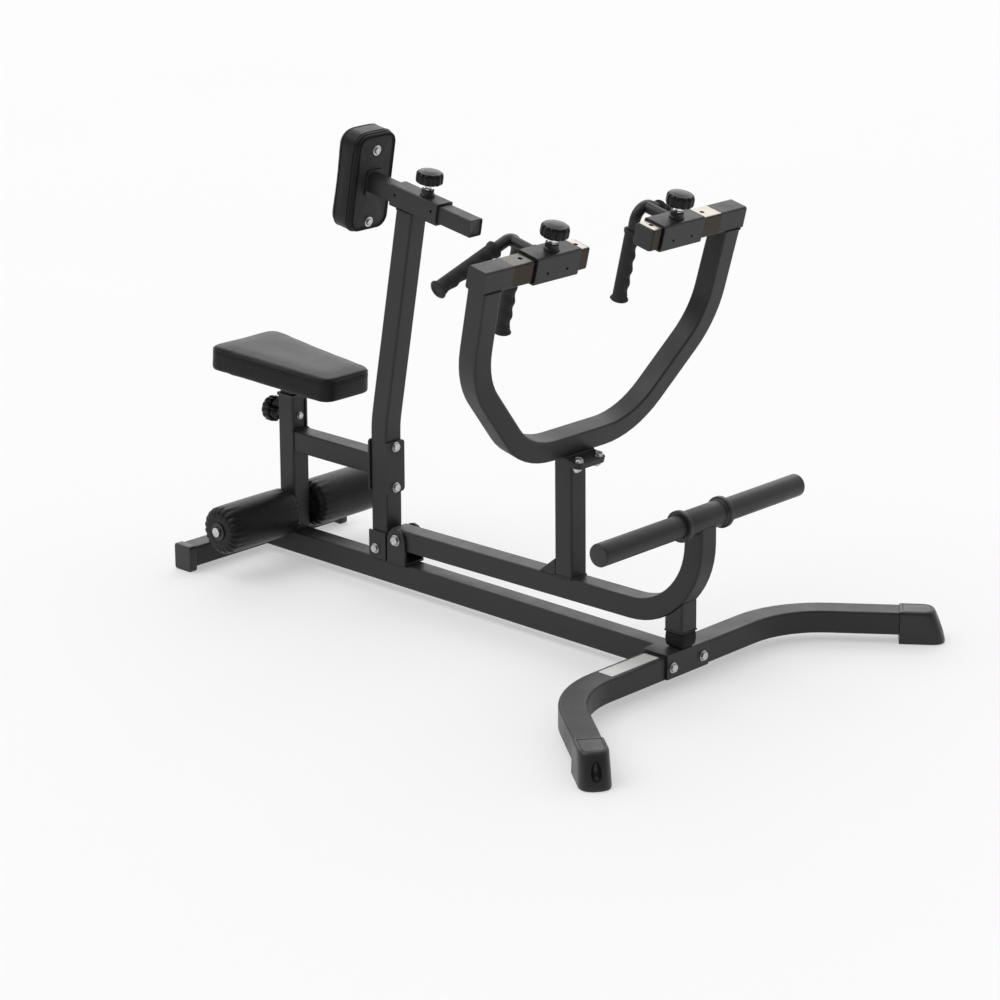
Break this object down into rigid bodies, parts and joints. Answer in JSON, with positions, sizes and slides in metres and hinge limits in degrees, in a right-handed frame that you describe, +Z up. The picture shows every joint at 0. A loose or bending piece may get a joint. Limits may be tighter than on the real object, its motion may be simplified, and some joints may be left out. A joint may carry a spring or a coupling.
{
  "type": "t bar row machine",
  "caption": "Plate-loaded seated row: floor frame, padded seat, knee rollers and chest pad, and a hinged arm with a U-shaped yoke, sliding handles and a weight bar.",
  "frame": {"origin": "on the floor, at the middle of the machine's length and width", "axes": "+X from the seat towards the weight bar, +Y to the sitter's left, +Z up"},
  "size_m": [1.6638, 1.2046, 1.0711],
  "materials": {
    "frame_paint": "satin charcoal powder coat",
    "zinc": "bright zinc plate",
    "axle_steel": "plain steel",
    "black_plastic": "satin moulded",
    "rubber": "rough",
    "grip_rubber": "matt",
    "pad_vinyl": "grained vinyl over foam",
    "backboard": "black-faced board"
  },
  "bodies": {
    "frame": {"base_beam": "frame_paint", "front_stabiliser": "frame_paint", "front_foot_right": "black_plastic", "front_foot_left": "black_plastic", "front_saddle": "frame_paint", "saddle_bolt_right": "zinc", "saddle_bolt_left": "zinc", "rear_stabiliser": "frame_paint", "rear_foot_right": "black_plastic", "rear_foot_left": "black_plastic", "column": "frame_paint", "column_bracket": "frame_paint", "column_bolt": "zinc", "clamp_plate": "frame_paint", "clamp_bolt_lower": "zinc", "clamp_bolt_upper": "zinc", "seat_brace": "frame_paint", "seat_post": "frame_paint", "seat_bush": "black_plastic", "roller_axle": "axle_steel", "chest_sleeve": "frame_paint", "pivot_bracket": "frame_paint", "pivot_bolt": "zinc"},
    "swing_arm": {"swing_arm": "frame_paint", "pivot_bush": "zinc", "arm_post": "frame_paint", "post_flange": "frame_paint", "yoke_flange": "frame_paint", "yoke": "frame_paint", "cross_beam_right": "frame_paint", "cross_beam_left": "frame_paint", "beam_plug_right": "black_plastic", "beam_plug_left": "black_plastic", "weight_bar": "frame_paint", "bar_hub": "frame_paint", "bar_collar_right": "frame_paint", "bar_collar_left": "frame_paint", "stop_post": "frame_paint", "stop_bumper": "rubber"},
    "handle_right": {"handle_sleeve_right": "frame_paint", "handle_rod_right": "frame_paint", "hanging_grip_right": "grip_rubber", "sloping_grip_right": "grip_rubber"},
    "handle_left": {"handle_sleeve_left": "frame_paint", "handle_rod_left": "frame_paint", "hanging_grip_left": "grip_rubber", "sloping_grip_left": "grip_rubber"},
    "seat": {"seat_slide": "frame_paint", "seat_plate": "frame_paint", "seat_pad": "pad_vinyl"},
    "chest": {"chest_slide": "frame_paint", "chest_strap": "frame_paint", "chest_board": "backboard", "chest_pad": "pad_vinyl"},
    "roller_right": {"knee_roller_right": "pad_vinyl"},
    "roller_left": {"knee_roller_left": "pad_vinyl"},
    "seat_pin": {"seat_pin": "black_plastic"},
    "chest_pin": {"chest_pin": "black_plastic"},
    "handle_pin_right": {"handle_pin_right": "black_plastic"},
    "handle_pin_left": {"handle_pin_left": "black_plastic"}
  },
  "joints": [
    {"name": "arm_swing", "type": "hinge", "parent": "frame", "child": "swing_arm", "pos_m": [-0.2873, 0, 0.1305], "axis": [0, -1, 0], "range_deg": [0, 40]},
    {"name": "seat_height", "type": "slide", "parent": "frame", "child": "seat", "axis": [0, 0, 1], "range_m": [-0.015, 0.03]},
    {"name": "chest_depth", "type": "slide", "parent": "frame", "child": "chest", "axis": [-0.9848, 0, 0.1736], "range_m": [-0.055, 0.08]},
    {"name": "roller_spin_right", "type": "hinge", "parent": "frame", "child": "roller_right", "pos_m": [-0.6483, -0.14, 0.123], "axis": [0, 1, 0], "continuous": true},
    {"name": "roller_spin_left", "type": "hinge", "parent": "frame", "child": "roller_left", "pos_m": [-0.6483, 0.14, 0.123], "axis": [0, 1, 0], "continuous": true},
    {"name": "handle_width_right", "type": "slide", "parent": "swing_arm", "child": "handle_right", "axis": [0, -1, 0], "range_m": [-0.025, 0.06]},
    {"name": "handle_width_left", "type": "slide", "parent": "swing_arm", "child": "handle_left", "axis": [0, 1, 0], "range_m": [-0.025, 0.06]},
    {"name": "seat_pin_pull", "type": "slide", "parent": "frame", "child": "seat_pin", "axis": [-1, 0, 0], "range_m": [0, 0.009], "stiffness_N_per_m": 1200, "springref_m": -0.004},
    {"name": "chest_pin_pull", "type": "slide", "parent": "frame", "child": "chest_pin", "axis": [0.1736, 0, 0.9848], "range_m": [0, 0.009], "stiffness_N_per_m": 1200, "springref_m": -0.004},
    {"name": "handle_pin_pull_right", "type": "slide", "parent": "handle_right", "child": "handle_pin_right", "axis": [0.228, 0, 0.9737], "range_m": [0, 0.009], "stiffness_N_per_m": 1200, "springref_m": -0.004},
    {"name": "handle_pin_pull_left", "type": "slide", "parent": "handle_left", "child": "handle_pin_left", "axis": [0.228, 0, 0.9737], "range_m": [0, 0.009], "stiffness_N_per_m": 1200, "springref_m": -0.004}
  ]
}
